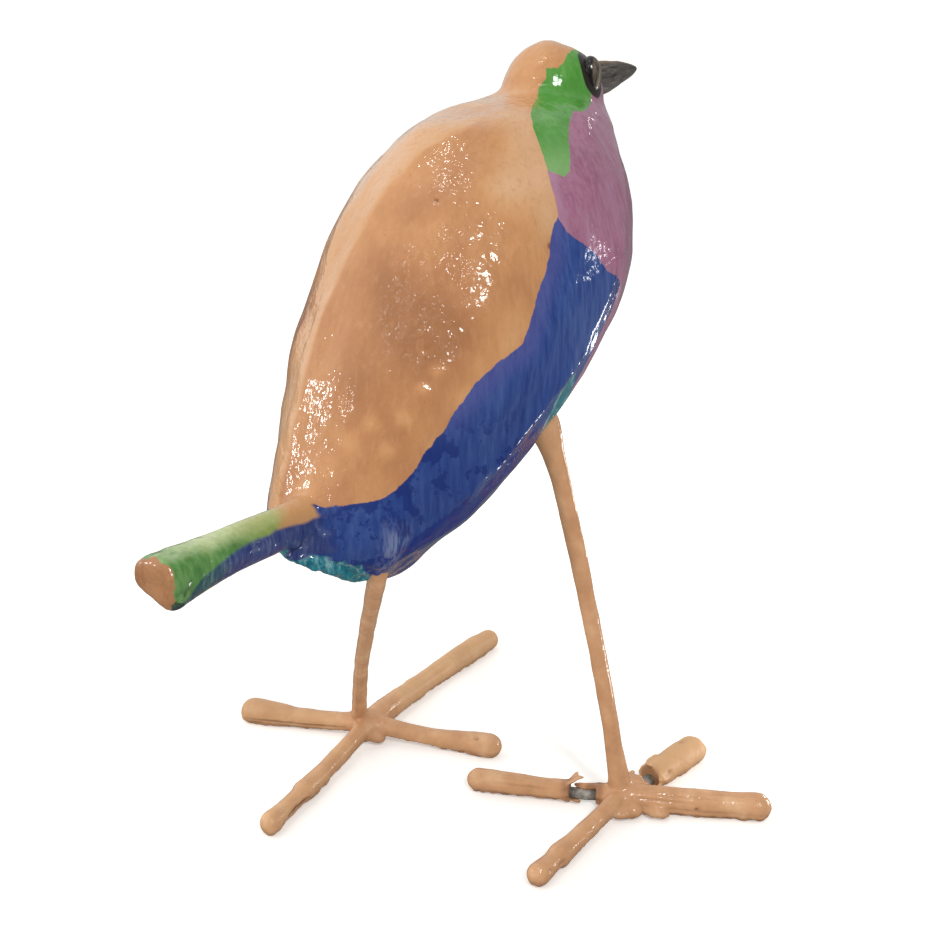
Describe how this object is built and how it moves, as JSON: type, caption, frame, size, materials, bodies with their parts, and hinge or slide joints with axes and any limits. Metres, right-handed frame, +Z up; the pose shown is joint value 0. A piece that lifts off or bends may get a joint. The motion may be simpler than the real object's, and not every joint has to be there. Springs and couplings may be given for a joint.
{
  "type": "seedpod bird figurine",
  "caption": "Hand-painted bird figurine: a seedpod body with a stalk for a tail, a thorn beak and splayed paper-paste feet on wire legs.",
  "frame": {"origin": "the centre of the bounding box, at floor level under the feet", "axes": "+Z up, -Y the way the bird faces, -X its right side, +X its left side"},
  "size_m": [0.1106, 0.13, 0.1425],
  "materials": {
    "painted_pod": "glossy hand-painted skin over a seedpod",
    "thorn": "varnished dark grey thorn",
    "eye_bead": "glossy black",
    "leg_paste": "glossy painted paste over wire"
  },
  "bodies": {
    "root": {"body": "painted_pod", "beak": "thorn", "left_eye": "eye_bead", "right_eye": "eye_bead", "left_leg": "leg_paste", "right_leg": "leg_paste"}
  },
  "joints": []
}
